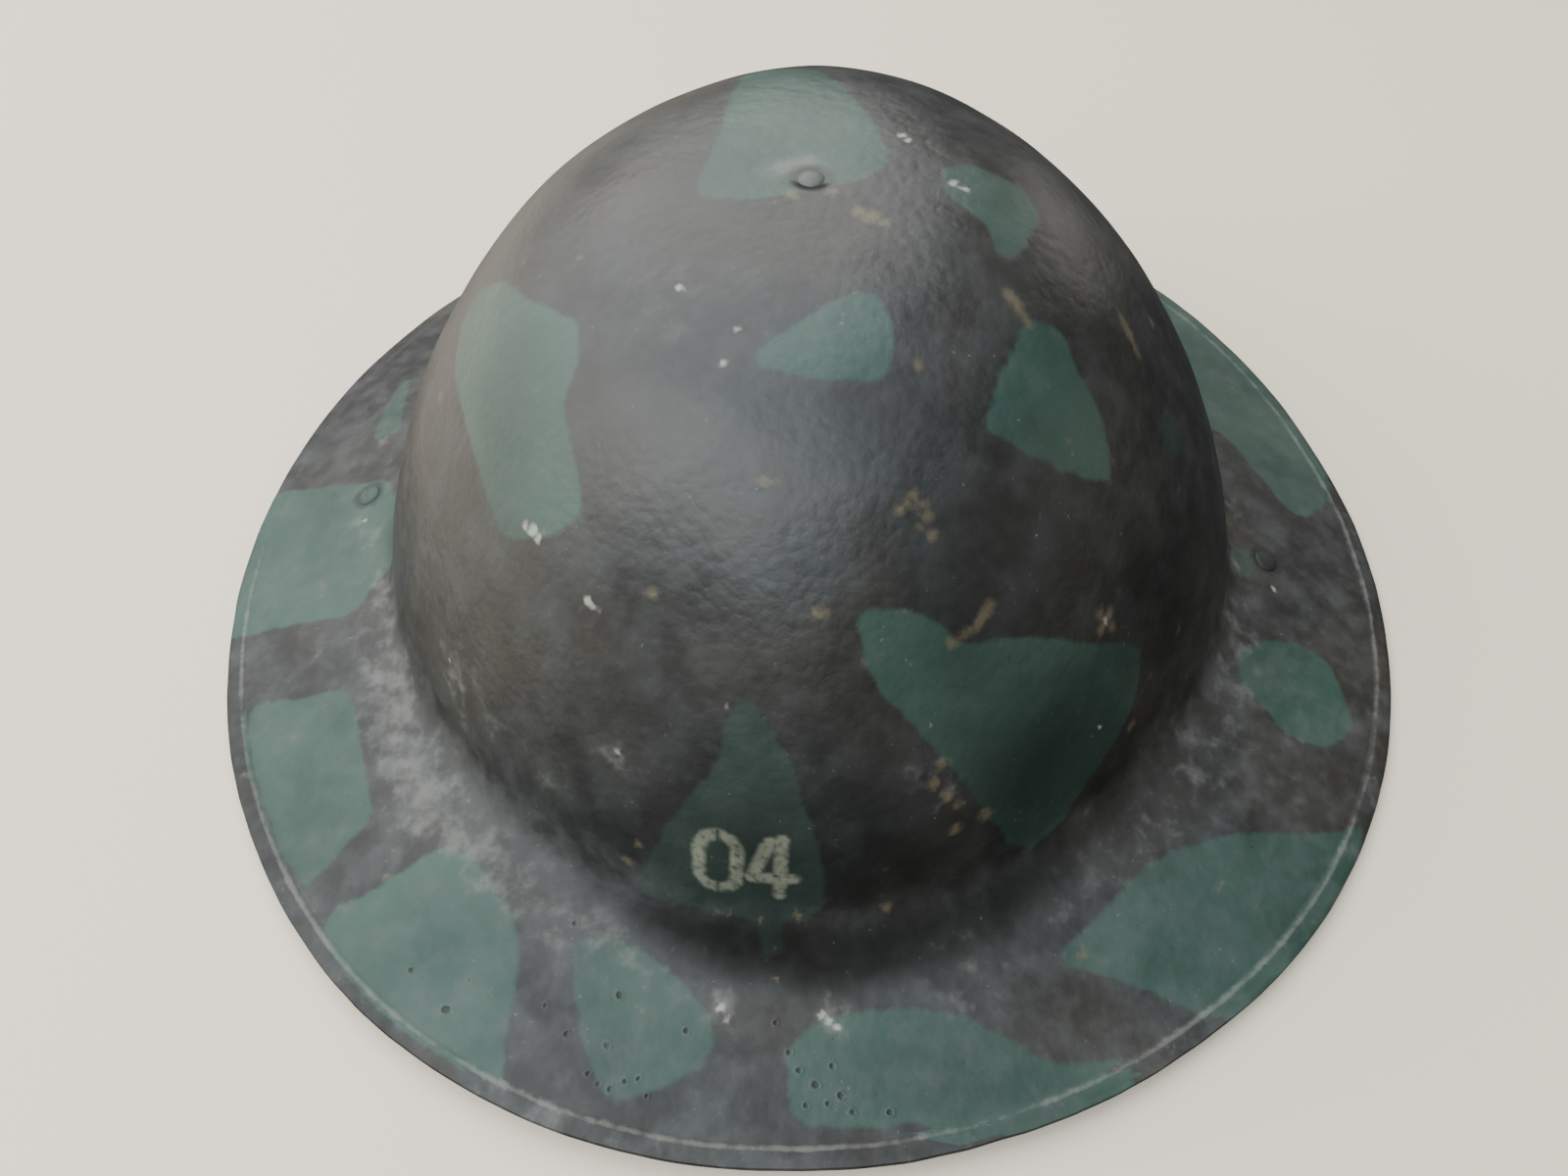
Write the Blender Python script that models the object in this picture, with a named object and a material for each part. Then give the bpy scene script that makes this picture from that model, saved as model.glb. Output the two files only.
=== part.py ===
# A steel helmet with a deep bowl and a wide sloping brim, pressed from one sheet.
# A folded steel strip binds the brim's edge. One rivet goes through the crown and one through
# the brim at each side of the bowl.
# Units are metres. +Z is up, the front faces -Y, and the rim rests on z = 0 round the origin.

import math

import bmesh
import bpy
from mathutils import Matrix, Vector
from mathutils.bvhtree import BVHTree

# Overall sizes
WIDTH = 0.290  # over the bound rim, from side to side
LENGTH = 0.303  # over the bound rim, from front to back
HEIGHT = 0.1172  # from the resting plane to the top of the bowl
BOWL_WIDTH = 0.205  # at the bowl's foot, where its wall would meet the brim
BOWL_LENGTH = 0.220
BOWL_SET_BACK = 0.003  # the bowl's centre lies this far behind the rim's
FOOT_HEIGHT = 0.018  # height of the bowl's foot
RIM_SADDLE = 0.0024  # the rim's sides drop and its ends rise by this from its mean level

# The bowl's curve, as exponents and shares
SHOULDER_POWER = 4.0  # a higher value squares the shoulder and flattens the crown
CROWN_POWER = 2.0
WALL_LEAN = 0.27  # share of its radius that the wall leans in by, from foot to crown
LEAN_POWER = 1.2  # above 1 keeps the wall steeper near its foot
DIAGONAL_FLAT = 0.03  # the plan is narrower by this share between its four axes

# The corner between the bowl and the brim
FILLET_RISE = 0.009
FILLET_RUN = 0.008

# Sheet metal
SHEET = 0.001  # the pressed shell
STRIP_SHEET = 0.0008  # the strip folded over the rim
STRIP_REACH = 0.0053  # from the outermost edge to the strip's inner edge
GAP = 0.0003  # between pieces that meet

# Rivets
SHANK_RADIUS = 0.0017
SIDE_RIVET_SPREAD = 0.2285  # between the axes of the two side rivets
SIDE_HEAD_RADIUS = 0.0032
CROWN_HEAD_RADIUS = 0.0028
HEAD_EDGE = 0.0003
HEAD_DOME = 0.0009
TAIL_RADIUS = 0.003
TAIL_THICKNESS = 0.0012
TAIL_CHAMFER = 0.0002

# How far the rim of this old helmet is out of true: outward waves round the plan
RIM_WAVES = [
    # waves round the rim, outward rise of each
    (2, 0.0004),
    (3, -0.0002),
    (4, -0.0008),
]

# Facets
SEGMENTS = 72
BOWL_ROWS = 18
FILLET_ROWS = 4
BRIM_ROWS = 4
HEM_ROWS = 6
RIVET_SEGMENTS = 20
DOME_ROWS = 3
SHARP_ANGLE = math.radians(35)

# Worked out from the sizes above. Profiles are drawn at true size in a round plan, with the
# side's radius, and then set out over the real oval plan by set_out().
BOWL_RADIUS = BOWL_WIDTH / 2
RIM_RADIUS = WIDTH / 2
SLOT_HALF = SHEET / 2 + GAP
HEM_RADIUS = SLOT_HALF + STRIP_SHEET
HEM_CENTRE = Vector((RIM_RADIUS - HEM_RADIUS, HEM_RADIUS + RIM_SADDLE))
BRIM_SLOPE = math.atan2(FOOT_HEIGHT - HEM_CENTRE.y - SHEET / 2, HEM_CENTRE.x - BOWL_RADIUS)
OUTWARD = Vector((math.cos(BRIM_SLOPE), -math.sin(BRIM_SLOPE)))  # down the brim
UPWARD = Vector((math.sin(BRIM_SLOPE), math.cos(BRIM_SLOPE)))  # square to the brim


def set_out(radius, angle, height):
    """A point of the round plan, moved to the real plan: the bowl's oval inside, the rim's outside."""
    across, along = math.cos(angle), math.sin(angle)
    narrowing = 1 - DIAGONAL_FLAT * (1 - math.cos(4 * angle)) / 2
    bowl_arm = Vector((BOWL_WIDTH / 2 * across, BOWL_LENGTH / 2 * along)) * narrowing
    bowl_centre = Vector((0, BOWL_SET_BACK))
    if radius <= BOWL_RADIUS:
        plan = bowl_centre + bowl_arm * (radius / BOWL_RADIUS)
        return Vector((plan.x, plan.y, height))

    # On the brim, a smooth blend from the bowl's foot to the rim keeps the strip's true width
    wave = sum(rise * math.sin(count * angle) for count, rise in RIM_WAVES)
    rim = Vector(((WIDTH / 2 + wave) * across, (LENGTH / 2 + wave) * along))
    rim_outward = Vector((across / WIDTH, along / LENGTH)).normalized()
    span = RIM_RADIUS - BOWL_RADIUS
    u = (radius - BOWL_RADIUS) / span
    plan = (
        (bowl_centre + bowl_arm) * (2 * u**3 - 3 * u**2 + 1)
        + bowl_arm / BOWL_RADIUS * span * (u**3 - 2 * u**2 + u)
        + rim * (3 * u**2 - 2 * u**3)
        + rim_outward * span * (u**3 - u**2)
    )
    return Vector((plan.x, plan.y, height - RIM_SADDLE * math.cos(2 * angle) * u))


def bowl_point(share):
    """The bowl's outer face in the round plan, for a share from 0 at the crown to 1 at the foot."""
    turn = math.pi / 2 * (1 - share ** (SHOULDER_POWER / 2))
    rise = math.sin(turn) ** (2 / CROWN_POWER)
    lean = 1 - WALL_LEAN * rise**LEAN_POWER
    radius = BOWL_RADIUS * math.cos(turn) ** (2 / SHOULDER_POWER) * lean
    return Vector((radius, FOOT_HEIGHT + (HEIGHT - FOOT_HEIGHT) * rise))


def share_at_height(height):
    """The share of the bowl's curve at which it passes a height."""
    rise = (height - FOOT_HEIGHT) / (HEIGHT - FOOT_HEIGHT)
    turn = math.asin(rise ** (CROWN_POWER / 2))
    return (1 - turn / (math.pi / 2)) ** (2 / SHOULDER_POWER)


def shell_profile():
    """The pressed sheet's outer face, from the crown to the brim's edge."""
    wall_share = share_at_height(FOOT_HEIGHT + FILLET_RISE)
    wall_end = bowl_point(wall_share)
    corner = Vector((BOWL_RADIUS, FOOT_HEIGHT))
    brim_start = corner + OUTWARD * FILLET_RUN
    brim_end = HEM_CENTRE + UPWARD * SHEET / 2 + OUTWARD * (SLOT_HALF - GAP)

    points = [Vector((0, HEIGHT))]
    points += [bowl_point(wall_share * row / BOWL_ROWS) for row in range(1, BOWL_ROWS + 1)]
    for row in range(1, FILLET_ROWS + 1):
        t = row / FILLET_ROWS
        points.append(wall_end * (1 - t) ** 2 + corner * 2 * t * (1 - t) + brim_start * t**2)
    points += [brim_start.lerp(brim_end, row / BRIM_ROWS) for row in range(1, BRIM_ROWS + 1)]
    return points


def strip_profile():
    """The folded strip's section, a U lying on its side round the sheet's edge."""
    inner_edge = OUTWARD * (HEM_RADIUS - STRIP_REACH)
    slot_end = OUTWARD * SLOT_HALF
    points = [HEM_CENTRE + inner_edge + UPWARD * HEM_RADIUS]
    for row in range(HEM_ROWS + 1):
        turn = math.pi * row / HEM_ROWS
        points.append(HEM_CENTRE + (UPWARD * math.cos(turn) + OUTWARD * math.sin(turn)) * HEM_RADIUS)
    points += [
        HEM_CENTRE + inner_edge - UPWARD * HEM_RADIUS,
        HEM_CENTRE + inner_edge - UPWARD * SLOT_HALF,
        HEM_CENTRE + slot_end - UPWARD * SLOT_HALF,
        HEM_CENTRE + slot_end + UPWARD * SLOT_HALF,
        HEM_CENTRE + inner_edge + UPWARD * SLOT_HALF,
    ]
    return points


def rivet_profile(head_radius):
    """Half a rivet's section, from the top of its head to the end of its tail."""
    head_base = GAP
    head_side = head_base + HEAD_EDGE
    points = []
    for row in range(DOME_ROWS + 1):
        turn = math.pi / 2 * row / DOME_ROWS
        points.append((head_radius * math.sin(turn), head_side + HEAD_DOME * math.cos(turn)))
    tail_top = -SHEET - GAP
    tail_end = tail_top - TAIL_THICKNESS
    points += [
        (head_radius, head_base),
        (SHANK_RADIUS, head_base),
        (SHANK_RADIUS, tail_top),
        (TAIL_RADIUS, tail_top),
        (TAIL_RADIUS, tail_end + TAIL_CHAMFER),
        (TAIL_RADIUS - TAIL_CHAMFER, tail_end),
        (0, tail_end),
    ]
    return points


def turned(profile, segments, closed):
    """A profile turned about Z, with a flat of each ring centred on the X and Y axes."""
    bm = bmesh.new()
    start = Matrix.Rotation(math.pi / segments, 4, "Z")
    verts = [bm.verts.new(start @ Vector((x, 0, z))) for x, z in profile]
    pairs = list(zip(verts, verts[1:]))
    if closed:
        pairs.append((verts[-1], verts[0]))
    edges = [bm.edges.new(pair) for pair in pairs]
    bmesh.ops.spin(
        bm,
        geom=verts + edges,
        cent=(0, 0, 0),
        axis=(0, 0, 1),
        angle=2 * math.pi,
        steps=segments,
        use_merge=True,
    )
    bmesh.ops.remove_doubles(bm, verts=bm.verts, dist=1e-6)
    bmesh.ops.recalc_face_normals(bm, faces=bm.faces)
    return bm


def turned_over_plan(profile, closed):
    """A profile of the round plan, turned and then set out over the real plan."""
    bm = turned(profile, SEGMENTS, closed)
    for vert in bm.verts:
        vert.co = set_out(math.hypot(vert.co.x, vert.co.y), math.atan2(vert.co.y, vert.co.x), vert.co.z)
    bm.normal_update()
    return bm


def add_object(name, bm, material):
    mesh = bpy.data.meshes.new(name)
    bm.to_mesh(mesh)
    bm.free()
    mesh.materials.append(material)
    mesh.shade_smooth()
    mesh.set_sharp_from_angle(angle=SHARP_ANGLE)
    obj = bpy.data.objects.new(name, mesh)
    bpy.context.scene.collection.objects.link(obj)
    return obj


def paint(name, colour, roughness, metallic=0.0):
    material = bpy.data.materials.new(name)
    material.use_nodes = True
    shader = material.node_tree.nodes["Principled BSDF"]
    shader.inputs["Base Color"].default_value = (*colour, 1)
    shader.inputs["Roughness"].default_value = roughness
    shader.inputs["Metallic"].default_value = metallic
    return material


def add_shell():
    bm = turned_over_plan(shell_profile(), closed=False)
    crown = max(bm.verts, key=lambda vert: vert.co.z)
    if crown.normal.z < 0:
        bmesh.ops.reverse_faces(bm, faces=bm.faces)
    shell = add_object("shell", bm, paint("dark paint", (0.028, 0.026, 0.025), 0.45))
    wall = shell.modifiers.new("sheet thickness", "SOLIDIFY")
    wall.thickness = SHEET
    wall.offset = -1
    wall.use_even_offset = True
    wall.use_quality_normals = True
    return shell


def add_strip():
    bm = turned_over_plan(strip_profile(), closed=True)
    return add_object("rim_binding", bm, paint("rim paint", (0.050, 0.052, 0.050), 0.55))


def rivet_seats(shell):
    """Where each rivet goes through the sheet: its node, seat, axis and head radius."""
    bm = bmesh.new()
    bm.from_mesh(shell.data)
    outer_face = BVHTree.FromBMesh(bm)
    seats = [("crown_rivet", Vector((0, BOWL_SET_BACK, HEIGHT)), Vector((0, 0, 1)), CROWN_HEAD_RADIUS)]
    for side, name in ((-1, "side_rivet_left"), (1, "side_rivet_right")):
        above = Vector((side * SIDE_RIVET_SPREAD / 2, BOWL_SET_BACK, HEIGHT))
        seat, axis, _, _ = outer_face.ray_cast(above, Vector((0, 0, -1)))
        seats.append((name, seat, axis, SIDE_HEAD_RADIUS))
    bm.free()
    return seats


def add_rivet(name, seat, axis, head_radius, material):
    bm = turned(rivet_profile(head_radius), RIVET_SEGMENTS, closed=False)
    rivet = add_object(name, bm, material)
    rivet.location = seat
    rivet.rotation_mode = "QUATERNION"
    rivet.rotation_quaternion = axis.to_track_quat("Z", "Y")
    return rivet


def drill(shell, rivet):
    """A clearance hole through the sheet for a rivet's shank."""
    bm = bmesh.new()
    radius = SHANK_RADIUS + GAP
    bmesh.ops.create_cone(
        bm,
        cap_ends=True,
        segments=RIVET_SEGMENTS,
        radius1=radius,
        radius2=radius,
        depth=2 * (TAIL_THICKNESS + HEAD_DOME + SHEET),
    )
    mesh = bpy.data.meshes.new(rivet.name + "_cutter")
    bm.to_mesh(mesh)
    bm.free()
    cutter = bpy.data.objects.new(rivet.name + "_cutter", mesh)
    bpy.context.scene.collection.objects.link(cutter)
    cutter.location = rivet.location
    cutter.rotation_mode = "QUATERNION"
    cutter.rotation_quaternion = rivet.rotation_quaternion
    cutter.hide_render = True
    cutter.display_type = "WIRE"
    hole = shell.modifiers.new(rivet.name + " hole", "BOOLEAN")
    hole.operation = "DIFFERENCE"
    hole.solver = "EXACT"
    hole.object = cutter


def main():
    for obj in list(bpy.data.objects):
        bpy.data.objects.remove(obj)
    shell = add_shell()
    add_strip()
    rivet_paint = paint("rivet paint", (0.035, 0.045, 0.042), 0.5)
    for name, seat, axis, head_radius in rivet_seats(shell):
        rivet = add_rivet(name, seat, axis, head_radius, rivet_paint)
        drill(shell, rivet)


main()
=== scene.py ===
import math

import bmesh
import bpy
import numpy as np
from mathutils import Matrix, Vector, noise
from mathutils.bvhtree import BVHTree
from mathutils.interpolate import poly_3d_calc
from mathutils.kdtree import KDTree


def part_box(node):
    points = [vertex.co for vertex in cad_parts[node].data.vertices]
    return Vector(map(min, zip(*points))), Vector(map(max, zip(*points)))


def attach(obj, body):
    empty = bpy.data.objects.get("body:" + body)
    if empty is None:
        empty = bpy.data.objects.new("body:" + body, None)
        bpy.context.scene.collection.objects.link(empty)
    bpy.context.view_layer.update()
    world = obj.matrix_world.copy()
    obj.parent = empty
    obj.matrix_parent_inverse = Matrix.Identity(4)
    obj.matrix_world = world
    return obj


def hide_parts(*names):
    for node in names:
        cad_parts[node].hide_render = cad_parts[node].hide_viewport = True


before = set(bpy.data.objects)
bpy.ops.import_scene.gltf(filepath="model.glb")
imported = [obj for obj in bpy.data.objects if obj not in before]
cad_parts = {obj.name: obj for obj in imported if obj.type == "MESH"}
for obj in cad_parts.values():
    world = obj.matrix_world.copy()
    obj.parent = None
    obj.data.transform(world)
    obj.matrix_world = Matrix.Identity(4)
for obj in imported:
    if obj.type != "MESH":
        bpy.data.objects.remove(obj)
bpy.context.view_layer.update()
print("frame loaded")


# Camera
photoCamera = {
    "frame": (1600, 1200),  # pixels
    "focalPixels": 1400,
    "place": (0.01888, -0.22282, 0.27748),
    "yaw": -0.1106,
    "pitch": 0.9068,  # downwards
    "roll": -0.0112,
}


def cameraAxes():
    yaw, pitch, roll = (photoCamera[key] for key in ("yaw", "pitch", "roll"))
    forward = Vector((math.sin(yaw) * math.cos(pitch), math.cos(yaw) * math.cos(pitch), -math.sin(pitch)))
    level = Vector((math.cos(yaw), -math.sin(yaw), 0))
    above = level.cross(forward)
    right = level * math.cos(roll) + above * math.sin(roll)
    up = above * math.cos(roll) - level * math.sin(roll)
    return right, up, forward


def addCamera():
    data = bpy.data.cameras.new("camera")
    data.sensor_width = 36
    data.lens = photoCamera["focalPixels"] / photoCamera["frame"][0] * data.sensor_width
    data.clip_start = 0.01
    camera = bpy.data.objects.new("camera", data)
    bpy.context.scene.collection.objects.link(camera)
    right, up, forward = cameraAxes()
    turn = Matrix((right, up, -forward)).transposed().to_4x4()
    turn.translation = photoCamera["place"]
    camera.matrix_world = turn
    bpy.context.scene.camera = camera


def sightLine(x, y):
    # direction from the camera through a pixel
    right, up, forward = cameraAxes()
    focal = photoCamera["focalPixels"]
    wide, high = photoCamera["frame"]
    return (forward + right * (x - wide / 2) / focal - up * (y - high / 2) / focal).normalized()


addCamera()


# The helmet's form: the same named sizes as its solids, with a tighter crease between bowl and brim
form = {
    "width": 0.290,  # over the rim strip
    "length": 0.303,
    "height": 0.1172,
    "bowlWidth": 0.205,  # at the bowl's foot
    "bowlLength": 0.220,
    "bowlSetBack": 0.003,
    "footHeight": 0.018,
    "rimSaddle": 0.0024,
    "shoulderPower": 4.0,
    "wallLean": 0.27,
    "leanPower": 1.2,
    "diagonalFlat": 0.03,
    "filletRise": 0.0062,
    "filletRun": 0.0070,
    "sheet": 0.001,
    "stripSheet": 0.0008,
    "stripReach": 0.0053,
    "gap": 0.0003,
    "rimWaves": ((2, 0.0004), (3, -0.0002), (4, -0.0008)),  # how many round the rim, and how high
    "bowlRows": 160,  # straight pieces of the profile
    "creaseRows": 12,
    "brimRows": 20,
}
bowlRadius = form["bowlWidth"] / 2
rimRadius = form["width"] / 2
slotHalf = form["sheet"] / 2 + form["gap"]
hemRadius = slotHalf + form["stripSheet"]
hemCentre = Vector((rimRadius - hemRadius, hemRadius + form["rimSaddle"]))
brimSlope = math.atan2(form["footHeight"] - hemCentre.y - form["sheet"] / 2, hemCentre.x - bowlRadius)
outward = Vector((math.cos(brimSlope), -math.sin(brimSlope)))
upward = Vector((math.sin(brimSlope), math.cos(brimSlope)))


def setOut(radius, angle, height):
    # a point of the round plan, moved to the oval plan
    across, along = math.cos(angle), math.sin(angle)
    narrowing = 1 - form["diagonalFlat"] * (1 - math.cos(4 * angle)) / 2
    bowlArm = Vector((form["bowlWidth"] / 2 * across, form["bowlLength"] / 2 * along)) * narrowing
    bowlCentre = Vector((0, form["bowlSetBack"]))
    if radius <= bowlRadius:
        plan = bowlCentre + bowlArm * (radius / bowlRadius)
        return Vector((plan.x, plan.y, height))
    wave = sum(rise * math.sin(count * angle) for count, rise in form["rimWaves"])
    rim = Vector(((form["width"] / 2 + wave) * across, (form["length"] / 2 + wave) * along))
    rimOutward = Vector((across / form["width"], along / form["length"])).normalized()
    span = rimRadius - bowlRadius
    u = (radius - bowlRadius) / span
    plan = (
        (bowlCentre + bowlArm) * (2 * u**3 - 3 * u**2 + 1)
        + bowlArm / bowlRadius * span * (u**3 - 2 * u**2 + u)
        + rim * (3 * u**2 - 2 * u**3)
        + rimOutward * span * (u**3 - u**2)
    )
    return Vector((plan.x, plan.y, height - form["rimSaddle"] * math.cos(2 * angle) * u))


def bowlPoint(share):
    # the bowl's outer face, from 0 at the crown to 1 at the foot
    turn = math.pi / 2 * (1 - share ** (form["shoulderPower"] / 2))
    rise = math.sin(turn)
    lean = 1 - form["wallLean"] * rise ** form["leanPower"]
    radius = bowlRadius * math.cos(turn) ** (2 / form["shoulderPower"]) * lean
    return Vector((radius, form["footHeight"] + (form["height"] - form["footHeight"]) * rise))


def outerProfile(spill=0.0):
    # the outer face from the crown to the brim's edge, and past it by the spill
    wallTurn = math.asin(form["filletRise"] / (form["height"] - form["footHeight"]))
    wallShare = (1 - wallTurn / (math.pi / 2)) ** (2 / form["shoulderPower"])
    wallEnd = bowlPoint(wallShare)
    corner = Vector((bowlRadius, form["footHeight"]))
    brimStart = corner + outward * form["filletRun"]
    brimEnd = hemCentre + upward * form["sheet"] / 2 + outward * (slotHalf - form["gap"] + spill)
    bowlRows, creaseRows, brimRows = form["bowlRows"], form["creaseRows"], form["brimRows"]
    points = [Vector((0, form["height"]))]
    points += [bowlPoint(wallShare * row / bowlRows) for row in range(1, bowlRows + 1)]
    for row in range(1, creaseRows + 1):
        t = row / creaseRows
        points.append(wallEnd * (1 - t) ** 2 + corner * 2 * t * (1 - t) + brimStart * t**2)
    return points + [brimStart.lerp(brimEnd, row / brimRows) for row in range(1, brimRows + 1)]


def lengthsAlong(points):
    lengths = [0.0]
    for a, b in zip(points, points[1:]):
        lengths.append(lengths[-1] + (b - a).length)
    return lengths


def evenly(points, step):
    # the same line with its points an even step apart
    lengths = lengthsAlong(points)
    count = round(lengths[-1] / step)
    at = np.linspace(0, lengths[-1], count + 1)
    across = np.interp(at, lengths, [point.x for point in points])
    upwards = np.interp(at, lengths, [point.y for point in points])
    return [Vector(pair) for pair in zip(across, upwards)]


# A sheet without thickness that the photo's outlines are projected on, reaching a little past the rim
canvas = {
    "spill": 0.02,
    "step": 0.002,
    "steps": 240,
    "middle": (820, 600),  # a pixel that misses the sheet is moved towards this one
    "nudge": 0.004,  # by this share of its distance, so many times
    "nudges": 12,
}
profile = outerProfile()
brimAlong = lengthsAlong(profile)[-1]
spillProfile = outerProfile(canvas["spill"])
spillLengths = lengthsAlong(spillProfile)
print(f"profile: brim's edge at {brimAlong * 1000:.1f} mm from the crown")


def placeOnOuter(angle, along):
    radius = float(np.interp(along, spillLengths, [point.x for point in spillProfile]))
    height = float(np.interp(along, spillLengths, [point.y for point in spillProfile]))
    return setOut(radius, angle, height)


def turned(points, steps, closed, marks):
    # a profile turned into the oval plan; marks are float values that each of its points carries round
    bm = bmesh.new()
    layers = {name: bm.verts.layers.float.new(name) for name in marks}
    verts = []
    for number, (x, z) in enumerate(points):
        vert = bm.verts.new((x, 0, z))
        for name, values in marks.items():
            vert[layers[name]] = values[number]
        verts.append(vert)
    pairs = list(zip(verts, verts[1:])) + ([(verts[-1], verts[0])] if closed else [])
    edges = [bm.edges.new(pair) for pair in pairs]
    bmesh.ops.spin(
        bm,
        geom=verts + edges,
        cent=(0, 0, 0),
        axis=(0, 0, 1),
        angle=2 * math.pi,
        steps=steps,
        use_merge=True,
    )
    bmesh.ops.remove_doubles(bm, verts=bm.verts, dist=1e-6)
    turnLayer = bm.verts.layers.float.new("turn")
    for vert in bm.verts:
        angle = math.atan2(vert.co.y, vert.co.x)
        vert[turnLayer] = angle
        vert.co = setOut(math.hypot(vert.co.x, vert.co.y), angle, vert.co.z)
    bmesh.ops.recalc_face_normals(bm, faces=bm.faces)
    return bm


canvasRows = evenly(spillProfile, canvas["step"])
canvasMarks = {"along": list(np.linspace(0, spillLengths[-1], len(canvasRows)))}
canvasMesh = turned(canvasRows, canvas["steps"], False, canvasMarks)
if max(canvasMesh.verts, key=lambda vert: vert.co.z).normal.z < 0:
    bmesh.ops.reverse_faces(canvasMesh, faces=canvasMesh.faces)
canvasMesh.faces.ensure_lookup_table()
canvasTree = BVHTree.FromBMesh(canvasMesh)
canvasAlong = canvasMesh.verts.layers.float["along"]
canvasTurn = canvasMesh.verts.layers.float["turn"]


def flat(angle, along):
    # the outer face unrolled round its crown
    return Vector((along * math.cos(angle), along * math.sin(angle)))


def spotOn(x, y):
    # place, normal and unrolled place of what a pixel shows
    for _ in range(canvas["nudges"]):
        place, normal, number, _ = canvasTree.ray_cast(Vector(photoCamera["place"]), sightLine(x, y))
        if place is not None:
            break
        x += (canvas["middle"][0] - x) * canvas["nudge"]
        y += (canvas["middle"][1] - y) * canvas["nudge"]
    face = canvasMesh.faces[number]
    weights = poly_3d_calc([vert.co for vert in face.verts], place)
    unrolled = Vector((0, 0))
    for vert, weight in zip(face.verts, weights):
        unrolled += flat(vert[canvasTurn], vert[canvasAlong]) * weight
    return place, normal, unrolled


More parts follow.
